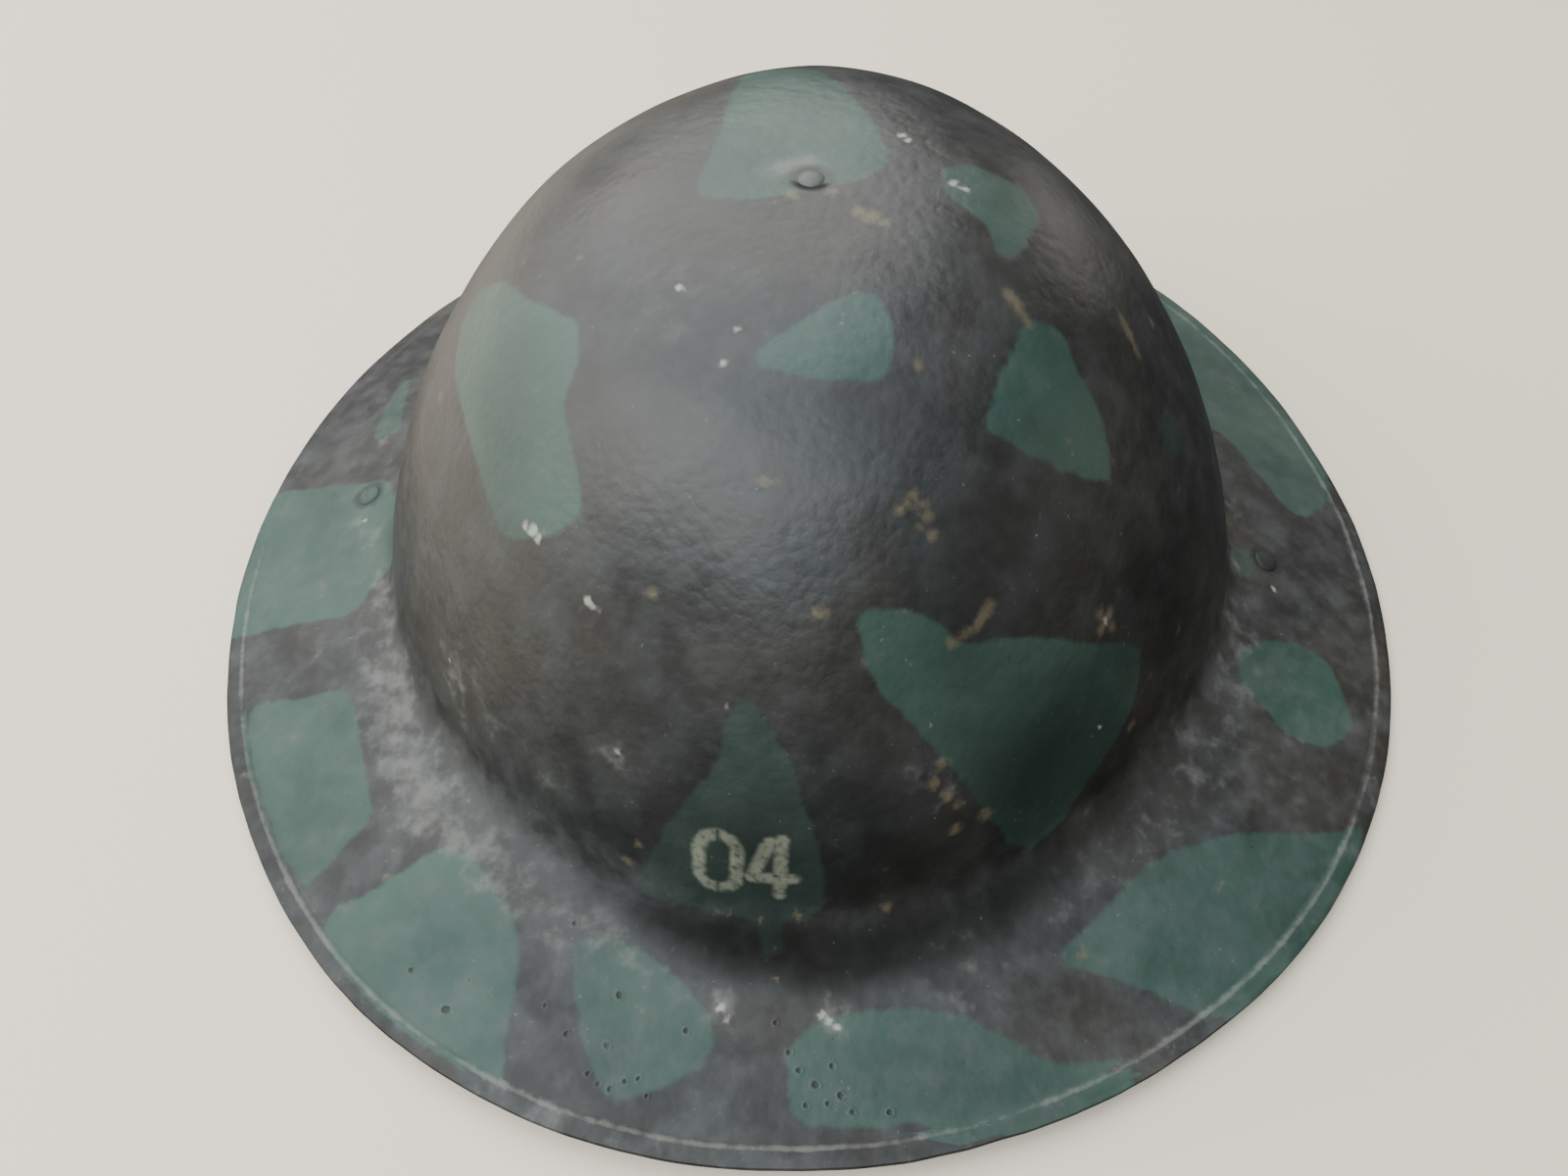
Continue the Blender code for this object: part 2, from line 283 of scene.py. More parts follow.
# Painted patches: how strong each is, and its outline in pixels, or as (bearing in degrees, mm from the crown,
# "far") where the photo doesn't show it. Bearings run anticlockwise from the right, so the front is -90.
patches = {
    "crown": (0.9, [
        (762, 74), (829, 71), (863, 90), (896, 133), (910, 163), (885, 183), (829, 194), (773, 203), (717, 203),
        (711, 191), (728, 152), (745, 102),
    ]),
    "leftLong": (0.9, [
        (515, 287), (543, 309), (588, 326), (590, 371), (576, 400), (577, 433), (592, 489), (593, 523),
        (565, 548), (515, 554), (492, 489), (475, 433), (464, 377), (473, 321), (492, 293),
    ]),
    "centre": (0.95, [
        (762, 371), (790, 348), (818, 326), (863, 301), (896, 301), (908, 321), (912, 350), (910, 377),
        (896, 391), (846, 387), (784, 377),
    ]),
    "rightTriangle": (0.9, [
        (1048, 323), (1084, 337), (1098, 377), (1126, 433), (1135, 489), (1110, 492), (1053, 464), (1000, 438),
        (1020, 388),
    ]),
    "upperRight": (0.7, [
        (958, 172), (986, 166), (1042, 189), (1062, 225), (1042, 259), (1020, 264), (1003, 225), (969, 203),
    ]),
    "rightFaint": (0.4, [(1188, 412), (1204, 430), (1206, 466), (1192, 470), (1184, 440)]),
    "lowerRight": (1.0, [
        (871, 629), (888, 621), (922, 621), (959, 635), (975, 654), (996, 658), (1061, 648), (1110, 658),
        (1163, 656), (1163, 695), (1147, 744), (1110, 797), (1086, 838), (1053, 866), (1029, 862), (1004, 825),
        (975, 789), (935, 744), (894, 703), (880, 662),
    ]),
    "front": (0.50, [
        (752, 712), (766, 714), (781, 738), (807, 781), (824, 832), (841, 879), (845, 925), (826, 938),
        (800, 942), (797, 976), (776, 976), (770, 938), (700, 925), (645, 910), (657, 892), (679, 841),
        (730, 781), (743, 734),
    ]),
    "brimLeftTip": (0.8, [(419, 378), (412, 422), (408, 440), (379, 451), (390, 422), (404, 400)]),
    "brimUpperLeft": (1.0, [
        (295, 500), (330, 497), (361, 494), (390, 487), (401, 498), (401, 556), (382, 595), (364, 625),
        (321, 634), (280, 642), (225, 655), (229, 610), (243, 560), (262, 522),
    ]),
    "brimLowerLeft": (1.0, [
        (251, 721), (294, 713), (352, 704), (362, 725), (371, 781), (382, 832), (358, 858), (335, 880),
        (311, 907), (286, 871), (256, 785),
    ]),
    "brimBottomLeft": (1.0, [
        (456, 860), (486, 879), (512, 918), (529, 948), (529, 1003), (516, 1050), (514, 1108), (470, 1090),
        (400, 1046), (350, 990), (326, 952), (340, 928), (392, 901),
    ]),
    "brimFrontLeft": (0.95, [
        (585, 956), (640, 960), (683, 990), (709, 1016), (734, 1059), (713, 1093), (657, 1119), (615, 1123),
        (597, 1067), (585, 1016),
    ]),
    "brimFront": (1.0, [
        (804, 1074), (824, 1046), (861, 1033), (935, 1029), (996, 1042), (1029, 1058), (1061, 1082),
        (1110, 1086), (1167, 1082), (1140, 1110), (1060, 1142), (963, 1160), (940, 1144), (882, 1152),
        (820, 1150), (804, 1131),
    ]),
    "brimLowerRight": (1.0, [
        (1082, 968), (1110, 948), (1180, 874), (1249, 854), (1282, 848), (1331, 852), (1371, 846), (1392, 842),
        (1385, 872), (1340, 960), (1275, 1030), (1257, 1035), (1212, 1029), (1167, 1009), (1139, 997),
        (1086, 984),
    ]),
    "brimRightOval": (1.0, [
        (1261, 666), (1290, 652), (1322, 656), (1355, 674), (1371, 707), (1380, 740), (1359, 764), (1326, 756),
        (1302, 740), (1286, 715), (1265, 695),
    ]),
    "brimRightRivet": (0.55, [(1256, 556), (1278, 560), (1283, 578), (1276, 588), (1258, 590)]),
    "brimUpperRight": (1.0, [
        (1209, 353), (1226, 406), (1236, 436), (1256, 452), (1286, 486), (1312, 519), (1329, 529), (1354, 516),
        (1350, 470), (1322, 410), (1275, 350), (1228, 308), (52, 199, "far"), (55, 184, "far"),
        (49, 168, "far"),
    ]),
    "backLeft": (0.9, [
        (122, 86, "far"), (140, 97, "far"), (148, 114, "far"), (141, 134, "far"), (127, 137, "far"),
        (119, 111, "far"),
    ]),
    "backMiddle": (0.95, [
        (103, 79, "far"), (84, 74, "far"), (69, 91, "far"), (74, 119, "far"), (91, 123, "far"),
        (100, 101, "far"),
    ]),
    "backRight": (0.9, [
        (61, 84, "far"), (50, 100, "far"), (39, 114, "far"), (41, 139, "far"), (55, 142, "far"),
        (62, 113, "far"),
    ]),
    "brimBack": (1.0, [
        (73, 161, "far"), (91, 159, "far"), (99, 176, "far"), (95, 200, "far"), (79, 201, "far"),
        (70, 182, "far"),
    ]),
    "brimBackLeft": (1.0, [
        (108, 162, "far"), (122, 159, "far"), (131, 173, "far"), (128, 193, "far"), (115, 199, "far"),
        (106, 182, "far"),
    ]),
}


def unroll(corner):
    if len(corner) == 3:
        return flat(math.radians(corner[0]), corner[1] / 1000)
    return spotOn(*corner)[2]


outlineCuts = (0.13, 0.25, 0.25)  # how much each round takes off a corner's sides
outlineStep = 0.001


def rounded(points):
    for cut in outlineCuts:
        softer = []
        for a, b in zip(points, points[1:] + points[:1]):
            softer += [a.lerp(b, cut), a.lerp(b, 1 - cut)]
        points = softer
    return points


def outlineOf(corners):
    # a patch's soft outline, unrolled, with its points close together
    points = rounded([unroll(corner) for corner in corners])
    fine = []
    for a, b in zip(points, points[1:] + points[:1]):
        parts = max(1, math.ceil((b - a).length / outlineStep))
        fine += [a.lerp(b, part / parts) for part in range(parts)]
    return fine


def within(points, outline):
    # which unrolled points lie inside an outline
    inside = np.zeros(len(points), bool)
    x, y = points[:, 0], points[:, 1]
    for a, b in zip(outline, outline[1:] + outline[:1]):
        if a.y == b.y:
            continue
        crosses = (a.y > y) != (b.y > y)
        inside ^= crosses & (x < (b.x - a.x) * (y - a.y) / (b.y - a.y) + a.x)
    return inside


outlines = {name: (strength, outlineOf(corners)) for name, (strength, corners) in patches.items()}
edgePoints = [
    (placeOnOuter(math.atan2(point.y, point.x), point.length), strength)
    for strength, outline in outlines.values()
    for point in outline
]
edgeTree = KDTree(len(edgePoints))
for number, (place, _) in enumerate(edgePoints):
    edgeTree.insert(place, number)
edgeTree.balance()
print(f"{len(outlines)} painted patches")

# Pale dust, in runs and single spots: pixel, reach in mm, strength. Two runs are painted light: a painted
# reflection down the bowl's left wall and a painted highlight on the arc behind the crown rivet
dustAndSheenRuns = [
    [(398, 415, 5, 0.30), (392, 452, 6, 0.50)],
    [
        (368, 500, 4, 0.30), (371, 528, 5, 0.70), (386, 580, 6, 0.55), (392, 640, 8, 0.70), (398, 700, 9, 0.85),
        (412, 765, 9, 0.85), (434, 812, 10, 1.0), (472, 852, 8, 0.80), (515, 893, 8, 0.65), (565, 932, 7, 0.55),
        (625, 968, 7, 0.45), (690, 1000, 7, 0.35),
    ],
    [(455, 655, 4, 0.50), (466, 690, 6, 0.60), (470, 740, 5, 0.40)],
    [
        (1258, 520, 7, 0.45), (1262, 610, 7, 0.50), (1258, 700, 9, 0.50), (1222, 785, 11, 0.42),
        (1150, 868, 11, 0.38), (1075, 925, 10, 0.35),
    ],
    [(640, 215, 12, 0.30), (700, 340, 14, 0.25)],
    # painted reflection: a pale sheen down the bowl's left wall, standing in for the floor mirrored there
    [(428, 500, 8, 0.20), (440, 600, 11, 0.25), (505, 740, 12, 0.30)],
    [(560, 790, 7, 0.45)], [(628, 770, 6, 0.60)], [(738, 1028, 5, 0.80)], [(848, 1040, 5, 0.80)],
    [(990, 1000, 12, 0.40)],
    # painted highlight: the pale arc behind the crown rivet
    [(786, 175, 3, 1.0), (802, 169, 3, 1.5), (822, 166, 3, 1.5), (836, 169, 2, 1.0)],
    [(955, 800, 12, 0.35)], [(1320, 800, 14, 0.30)], [(570, 1140, 14, 0.35)],
]

# Painted shade: where the paint is darkened as shade falls, most in the crease at the bowl's foot, on the
# bowl's lower right and along the brim's left edge
paintedShadeRuns = [
    [
        (590, 892, 5, 0.35), (640, 925, 6, 0.65), (700, 950, 8, 0.85), (770, 965, 10, 0.95),
        (850, 975, 10, 0.95), (930, 960, 10, 0.90), (1010, 925, 10, 0.85), (1080, 872, 10, 0.75),
        (1140, 805, 9, 0.60),
    ],
    [(920, 880, 26, 0.80)], [(1000, 640, 22, 0.45)], [(1180, 640, 26, 0.65)], [(1130, 800, 22, 0.70)],
    [(1068, 790, 28, 0.85)], [(780, 880, 24, 0.66)], [(640, 850, 14, 0.35)], [(600, 800, 18, 0.30)],
    [(1060, 560, 20, 0.30)], [(1175, 850, 14, 0.40)], [(640, 1050, 18, 0.24)],
    [(780, 1100, 16, 0.18), (920, 1095, 20, 0.28), (1050, 1115, 18, 0.26)],
    [(1250, 930, 26, 0.28)], [(1195, 845, 16, 0.25)],
    [(236, 695, 3, 0.20), (244, 754, 3, 0.45), (258, 813, 3, 0.45), (277, 872, 3, 0.40), (298, 918, 3, 0.20)],
]


runSteps = 4  # from one spot of a run to the next


def blend(places, runs):
    # strength of the strongest spot at each place, with every run filled in between its spots
    most = np.zeros(len(places))
    for run in runs:
        spots = list(run[:1])
        for one, other in zip(run, run[1:]):
            for step in range(1, runSteps + 1):
                spots.append(tuple(a + (b - a) * step / runSteps for a, b in zip(one, other)))
        for x, y, reach, strength in spots:
            gap = np.linalg.norm(places - np.array(spotOn(x, y)[0]), axis=1) / (reach / 1000)
            most = np.maximum(most, strength * np.exp(-gap**2))
    return most


deepest = 20  # mm: how far from a patch's edge is still told apart


def floatsOf(mesh, name):
    values = np.zeros(len(mesh.vertices), np.float32)
    mesh.attributes[name].data.foreach_get("value", values)
    return values


def placesOf(mesh):
    places = np.zeros(len(mesh.vertices) * 3, np.float32)
    mesh.vertices.foreach_get("co", places)
    return places.reshape(-1, 3).astype(float)


def addFloats(mesh, name, values):
    mesh.attributes.new(name, "FLOAT", "POINT").data.foreach_set("value", np.asarray(values, np.float32))


def markPaint(mesh, along, covered):
    # writes how far inside a patch each point lies, in mm, how strong its paint is, the dust with the painted
    # reflection and highlight among it, and the painted shade
    places = placesOf(mesh)
    turn = floatsOf(mesh, "turn")
    unrolled = np.stack([along * np.cos(turn), along * np.sin(turn)], axis=1)
    inside = np.zeros(len(places), bool)
    for _, outline in outlines.values():
        inside |= within(unrolled, outline)
    depth = np.full(len(places), -float(deepest))
    strength = np.ones(len(places))
    for number in np.nonzero(covered)[0]:
        _, edge, distance = edgeTree.find(places[number])
        depth[number] = min(distance * 1000, deepest) * (1 if inside[number] else -1)
        strength[number] = edgePoints[edge][1]
    addFloats(mesh, "patchDepth", depth)
    addFloats(mesh, "patchStrength", strength)
    addFloats(mesh, "dustAndSheen", np.where(covered, blend(places, dustAndSheenRuns), 0))
    addFloats(mesh, "paintedShade", np.where(covered, blend(places, paintedShadeRuns), 0))


# Rivets: where they sit, measured on the solids
def rivetSeat(node):
    low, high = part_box(node)
    return (low + high) / 2


rivetSeats = {node: rivetSeat(node) for node in ("crown_rivet", "side_rivet_left", "side_rivet_right")}


# Shell
shell = {
    "rowStep": 0.0021,
    "insideStep": 0.0034,
    "steps": 324,
    "waves": ((0.034, 0.00022), (0.013, 0.00007)),  # size and height of the sheet's unevenness
    "wavePlace": (3.1, 7.7, 1.3),  # where in the noise it lies
    "dimple": 0.0006,  # how deep each rivet pulls the sheet in
    "dimpleReach": 0.0075,
    "dimpleFall": 1.4,  # how fast the dimple fades
}


def addObject(name, bm):
    mesh = bpy.data.meshes.new(name)
    bm.to_mesh(mesh)
    bm.free()
    thing = bpy.data.objects.new(name, mesh)
    bpy.context.scene.collection.objects.link(thing)
    return thing


def unevenness(place):
    rise = 0.0
    for size, height in shell["waves"]:
        rise += noise.noise(place / size + Vector(shell["wavePlace"])) * height * 2
    return rise


def buildShell():
    outer = evenly(profile, shell["rowStep"])
    base = evenly(profile, shell["insideStep"])
    inner = []
    for number, point in enumerate(base):
        before, after = base[max(number - 1, 0)], base[min(number + 1, len(base) - 1)]
        slope = (after - before).normalized()
        inner.append(point + Vector((slope.y, -slope.x)) * form["sheet"])
    inner[0].x = 0
    inner[0].y = form["height"] - form["sheet"]
    points = outer + inner[::-1]
    along = list(np.linspace(0, brimAlong, len(outer))) + list(np.linspace(0, brimAlong, len(inner)))[::-1]
    inside = [0.0] * len(outer) + [1.0] * len(inner)
    bm = turned(points, shell["steps"], False, {"along": along, "inside": inside})
    insideLayer = bm.verts.layers.float["inside"]
    bm.normal_update()
    moves = []
    for vert in bm.verts:
        out = vert.normal * (-1 if vert[insideLayer] > 0.5 else 1)
        rise = unevenness(vert.co)
        for seat in rivetSeats.values():
            gap = (vert.co - seat).length / shell["dimpleReach"]
            if gap < 2:
                rise -= shell["dimple"] * math.exp(-gap**2 * shell["dimpleFall"])
        moves.append(out * rise)
    for vert, move in zip(bm.verts, moves):
        vert.co += move
    piece = addObject("helmetShell", bm)
    mesh = piece.data
    mesh.shade_smooth()
    markPaint(mesh, floatsOf(mesh, "along"), floatsOf(mesh, "inside") < 0.5)
    return piece


shellPiece = buildShell()
print(f"shell: {len(shellPiece.data.polygons)} faces")


# Strip folded round the rim
strip = {
    "steps": 420,
    "leaf": (  # the upper leaf: reach from its inner edge, rise above the sheet, how much it is rubbed
        (0, -0.00012, 0.0),
        (0.0006, 0.00010, 0.6),
        (0.0011, 0.00028, 1.0),
        (0.0015, 0.00040, 1.0),
        (0.0020, 0.00048, 0.4),
        (0.0028, 0.00050, 0.0),
        (0.0036, 0.00046, 0.0),
    ),
    "edgeBevel": 0.00022,
    "bendRows": 10,
    "bendStart": 0.15,  # share of the half turn that the leaf has already made
    "bendRub": 0.3,
    "waves": ((0.028, 0.00018), (0.007, 0.00009)),
    "wavePlace": (9.2, 4.4, 6.1),
    "mottle": (0.13, 0.128, 0.122),
    "rubbed": (0.20, 0.19, 0.165),
}


def buildStrip():
    innerEdge = outward * (hemRadius - form["stripReach"])
    slotEnd = outward * slotHalf
    bevel = strip["edgeBevel"]
    points, ridge = [], []

    def add(point, mark):
        points.append(point)
        ridge.append(mark)

    for reach, rise, mark in strip["leaf"]:
        add(hemCentre + innerEdge + outward * reach + upward * (form["sheet"] / 2 + rise), mark)
    for row in range(1, strip["bendRows"] + 1):
        turn = math.pi * (strip["bendStart"] + (1 - strip["bendStart"]) * row / strip["bendRows"])
        bend = (upward * math.cos(turn) + outward * math.sin(turn)) * hemRadius
        add(hemCentre + bend, strip["bendRub"] * math.sin(turn) ** 4)
    under = hemCentre + innerEdge - upward * hemRadius
    add(under + outward * bevel * 3, 0.0)
    add(under + outward * bevel, 0.6)
    add(under + upward * bevel * 1.2, 0.6)
    add(hemCentre + innerEdge - upward * slotHalf, 0.2)
    add(hemCentre + slotEnd - upward * slotHalf, 0.0)
    add(hemCentre + slotEnd + upward * slotHalf, 0.0)
    bm = turned(points, strip["steps"], True, {"ridge": ridge})
    bm.normal_update()
    moves = []
    for vert in bm.verts:
        rise = 0.0
        for size, height in strip["waves"]:
            rise += noise.noise(vert.co / size + Vector(strip["wavePlace"])) * height * 2
        plan = Vector((vert.co.x, vert.co.y, 0)).normalized()
        moves.append(plan * rise * 0.8 + Vector((0, 0, 1)) * unevenness(vert.co))
    for vert, move in zip(bm.verts, moves):
        vert.co += move
    piece = addObject("rimStrip", bm)
    mesh = piece.data
    mesh.shade_smooth()
    mesh.set_sharp_from_angle(angle=math.radians(60))
    places = placesOf(mesh)
    turn = floatsOf(mesh, "turn")
    rimReach = np.hypot(form["width"] / 2 * np.cos(turn), form["length"] / 2 * np.sin(turn))
    along = brimAlong + (np.hypot(places[:, 0], places[:, 1]) - rimReach) / math.cos(brimSlope)
    addFloats(mesh, "along", along)
    markPaint(mesh, along, np.ones(len(turn), bool))
    return piece


stripPiece = buildStrip()
print(f"rim strip: {len(stripPiece.data.polygons)} faces")


# Rivets
rivets = {
    "headSink": 0.0011,  # the heads are closed down into their dimples
    "tailSink": 0.00045,
    "lump": (0.0022, 0.00012),  # size and height
    "levels": 3,
    "green": (0.016, 0.034, 0.029),
    "greenPale": (0.028, 0.052, 0.044),
    "crown": (0.066, 0.070, 0.062),
    "right": (0.009, 0.0085, 0.008),  # the right-hand rivet is darker
}


def buildRivet(node):
    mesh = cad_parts[node].data.copy()
    mesh.name = node + "Worn"
    seat = rivetSeats[node]
    bm = bmesh.new()
    bm.from_mesh(mesh)
    bmesh.ops.remove_doubles(bm, verts=bm.verts, dist=1e-6)
    bmesh.ops.join_triangles(bm, faces=bm.faces, angle_face_threshold=0.05, angle_shape_threshold=0.6)
    bm.normal_update()
    middle = Vector((0, form["bowlSetBack"], 0))
    axis = Vector((0, 0, 1)) if node == "crown_rivet" else canvasTree.find_nearest(seat)[1]
    size, height = rivets["lump"]
    for vert in bm.verts:
        lump = noise.noise(vert.co / size + middle) * height
        sink = rivets["headSink"] if (vert.co - seat).dot(axis) > 0 else rivets["tailSink"]
        vert.co += vert.normal * lump - axis * sink
    bm.to_mesh(mesh)
    bm.free()
    mesh.materials.clear()
    mesh.shade_smooth()
    piece = bpy.data.objects.new(node + "Worn", mesh)
    bpy.context.scene.collection.objects.link(piece)
    smooth = piece.modifiers.new("rounding", "SUBSURF")
    smooth.levels = rivets["levels"]
    smooth.render_levels = rivets["levels"]
    return piece


rivetPieces = {node: buildRivet(node) for node in rivetSeats}
print("rivets")


# Shader maths
class Wire:
    # a shader socket that takes part in sums
    def __init__(self, finish, socket):
        self.finish = finish
        self.socket = socket

    def sum(self, operation, first, second):
        return self.finish.node("ShaderNodeMath", {"operation": operation}, {0: first, 1: second})

    def __add__(self, other):
        return self.sum("ADD", self, other)

    def __radd__(self, other):
        return self.sum("ADD", other, self)

    def __sub__(self, other):
        return self.sum("SUBTRACT", self, other)

    def __rsub__(self, other):
        return self.sum("SUBTRACT", other, self)

    def __mul__(self, other):
        return self.sum("MULTIPLY", self, other)

    def __rmul__(self, other):
        return self.sum("MULTIPLY", other, self)

    def larger(self, other):
        return self.sum("MAXIMUM", self, other)

    def smaller(self, other):
        return self.sum("MINIMUM", self, other)

    def size(self):
        return self.finish.node("ShaderNodeMath", {"operation": "ABSOLUTE"}, {0: self})

    def between(self, low, high):
        # 0 below low, 1 above high, and a soft step between; low may be the larger
        sockets = {0: self, 1: low, 2: high, 3: 0.0, 4: 1.0}
        return self.finish.node("ShaderNodeMapRange", {"interpolation_type": "SMOOTHSTEP"}, sockets)


class Finish:
    # one material and its nodes
    def __init__(self, name):
        self.material = bpy.data.materials.new(name)
        self.material.use_nodes = True
        self.tree = self.material.node_tree
        self.tree.nodes.clear()
        self.place = self.node("ShaderNodeTexCoord", output="Object")

    def node(self, kind, settings=None, sockets=None, output=0):
        node = self.tree.nodes.new(kind)
        for key, value in (settings or {}).items():
            setattr(node, key, value)
        for key, value in (sockets or {}).items():
            if isinstance(value, Wire):
                self.tree.links.new(value.socket, node.inputs[key])
            else:
                node.inputs[key].default_value = value
        return Wire(self, node.outputs[output])

    def attribute(self, name):
        return self.node("ShaderNodeAttribute", {"attribute_name": name}, output="Fac")

    def axis(self, letter):
        return self.node("ShaderNodeSeparateXYZ", {}, {0: self.place}, output=letter)

    def grain(self, size, detail=2.0, roughness=0.5, distortion=0.0):
        # noise from about 0.25 to 0.75 with lumps of the given size
        sockets = {"Scale": 1 / size, "Detail": detail, "Roughness": roughness, "Distortion": distortion}
        return self.node("ShaderNodeTexNoise", {}, {"Vector": self.place, **sockets})

    def colour(self, factor, first, second):
        # first where the factor is 0, second where it is 1
        def full(value):
            return value if isinstance(value, Wire) else (*value, 1)

        sockets = {0: factor, 6: full(first), 7: full(second)}
        return self.node("ShaderNodeMix", {"data_type": "RGBA"}, sockets, output=2)

    def vector(self, operation, first, second, output="Vector"):
        return self.node("ShaderNodeVectorMath", {"operation": operation}, {0: first, 1: second}, output=output)

    def distance(self, point):
        return self.vector("DISTANCE", self.place, tuple(point), output="Value")

    def strokeDistance(self, position, start, end):
        # from a position to the straight line between two points
        run = end - start
        offset = self.vector("SUBTRACT", position, tuple(start))
        share = self.vector("DOT_PRODUCT", offset, tuple(run / run.length_squared), output="Value")
        sockets = {0: tuple(run), "Scale": share.larger(0.0).smaller(1.0)}
        reach = self.node("ShaderNodeVectorMath", {"operation": "SCALE"}, sockets, output="Vector")
        return self.vector("DISTANCE", offset, reach, output="Value")

    def shader(self, colour, roughness, normal, specular):
        sockets = {"Base Color": colour, "Roughness": roughness, "Specular IOR Level": specular}
        if normal is not None:
            sockets["Normal"] = normal
        return self.node("ShaderNodeBsdfPrincipled", {}, sockets)

    def finish(self, colour, roughness, normal, specular=0.5, matt=None):
        # matt is where the paint's shine is taken away: on the dustier brim, and with the painted shade and
        # shadow
        surface = self.shader(colour, roughness, normal, specular)
        if matt is not None:
            dull = self.shader(colour, paint["dullRoughness"], normal, paint["dullSpecular"])
            surface = self.node("ShaderNodeMixShader", {}, {0: matt, 1: surface, 2: dull})
        output = self.tree.nodes.new("ShaderNodeOutputMaterial")
        self.tree.links.new(surface.socket, output.inputs[0])
        return self.material


# Old paint, shared by the shell, the strip and the rivets
paint = {
    "dark": (0.011, 0.0108, 0.0106),
    "darkWorn": (0.0245, 0.0258, 0.0255),
    "teal": (0.015, 0.041, 0.031),
    "tealPale": (0.028, 0.060, 0.046),
    "brown": (0.036, 0.027, 0.017),
    # the dark of grimy pocks, also the colour of painted shade and a painted shadow
    "grimeAndShade": (0.005, 0.0048, 0.0044),
    "film": (0.100, 0.101, 0.100),
    # pale dust, also the colour of a painted reflection and a painted highlight
    "dustAndSheen": (0.19, 0.183, 0.170),
    # pale chips, also the colour of a few painted glints
    "chipAndGlint": (0.36, 0.34, 0.29),
    "rust": (0.125, 0.097, 0.053),
    "number": (0.38, 0.38, 0.28),
    "pit": (0.008, 0.007, 0.006),
    "inside": (0.03, 0.027, 0.024),
    "ring": (0.010, 0.010, 0.009),  # painted shade round a rivet, in its dimple
    "patchEdge": 0.75,  # mm of soft edge to each side
    "brim": (0.143, 0.156),  # metres from the crown where the brim's dustier, duller paint sets in
    "roughness": 0.44,
    "dullRoughness": 0.9,
    "dullSpecular": 0.08,
    "lumps": 400.0,  # dimples to the metre
    "bumpHeight": 0.00035,
    "bumpStrength": 0.6,
}

# Marks on the paint: pixel and radius in mm
paleChipsAndGlints = [
    # the small soft marks near pixel (752, 336) are painted glints where lumps in the paint catch the light
    (544, 542, 1.6), (537, 537, 1.0), (549, 550, 0.9), (693, 295, 0.7), (752, 336, 0.5), (738, 371, 0.4),
    (920, 138, 1.1), (926, 143, 0.8), (973, 185, 1.2), (985, 192, 0.9), (742, 720, 0.6), (846, 1042, 0.9),
    (853, 1047, 0.8), (838, 1036, 0.7), (735, 1028, 0.8), (742, 1040, 0.7), (630, 768, 0.4), (459, 674, 0.5),
    (1128, 635, 0.7), (670, 605, 0.5), (372, 530, 0.9), (1122, 742, 0.5), (1300, 600, 0.7),
]
rustChips = [
    (888, 221, 2.6), (876, 216, 1.8), (902, 226, 1.6), (937, 374, 1.1), (946, 528, 1.5), (932, 505, 1.3),
    (918, 520, 0.9), (951, 545, 1.2), (938, 538, 1.0), (926, 513, 0.8), (942, 515, 0.9), (1135, 640, 1.4),
    (1122, 628, 1.0), (668, 604, 1.3), (838, 627, 1.3), (1005, 830, 1.4), (952, 800, 1.3), (967, 812, 1.2),
    (978, 820, 1.1), (1105, 975, 1.3), (1155, 740, 1.0), (808, 198, 1.7), (849, 194, 1.4), (975, 845, 1.4),
    (1175, 330, 1.3), (450, 404, 1.0), (960, 780, 1.0), (640, 878, 1.4), (652, 862, 1.0), (905, 926, 1.0),
]
scratches = [  # two pixels, half width in mm, and whether it shows rust
    (1030, 300, 1050, 330, 0.8, True), (1145, 325, 1162, 362, 0.9, True), (1012, 618, 996, 640, 1.0, True),
    (996, 640, 972, 656, 0.8, True), (1132, 628, 1124, 642, 0.9, True), (600, 612, 612, 624, 0.5, False),
]
darkPits = [
    (832, 1107, 0.9), (815, 1092, 0.6), (849, 1088, 0.6), (858, 1118, 0.6), (822, 1128, 0.6), (870, 1135, 0.6),
    (845, 1126, 0.5), (908, 1135, 0.5), (805, 1074, 0.5), (455, 1030, 0.9), (503, 1013, 0.5), (420, 990, 0.6),
    (632, 1016, 0.8), (586, 942, 0.6), (557, 1026, 0.5), (578, 1056, 0.6), (619, 1067, 0.5), (610, 1106, 0.6),
    (622, 1112, 0.6), (638, 1104, 0.6), (651, 1101, 0.5), (600, 1096, 0.5), (660, 1118, 0.5), (792, 1043, 0.5),
    (700, 1052, 0.5), (480, 1000, 0.5),
]


def spotField(finish, marks):
    # mm inside the nearest of some round marks
    field = None
    for x, y, radius in marks:
        depth = radius * 0.72 - finish.distance(spotOn(x, y)[0]) * 1000
        field = depth if field is None else field.larger(depth)
    return field


def scratchField(finish, rusty):
    field = None
    for ax, ay, bx, by, half, shows in scratches:
        if shows == rusty:
            depth = half - finish.strokeDistance(finish.place, spotOn(ax, ay)[0], spotOn(bx, by)[0]) * 1000
            field = depth if field is None else field.larger(depth)
    return field


# A plain number on the front, as strokes in mm round its middle
numberMark = {
    "pixel": (763, 884),
    "halfStroke": 1.25,
    "ring": ((-6.0, -3.3), (-6.0, 3.3), 3.8),  # two centres and a radius
    "ringGap": 0.9,
    "strokes": (
        ((6.4, -7.4), (6.4, 7.4)),
        ((4.2, 6.9), (0.7, -2.9)),
        ((0.7, -2.9), (4.3, -2.9)),
        ((8.6, -2.9), (9.0, -2.9)),
    ),
}


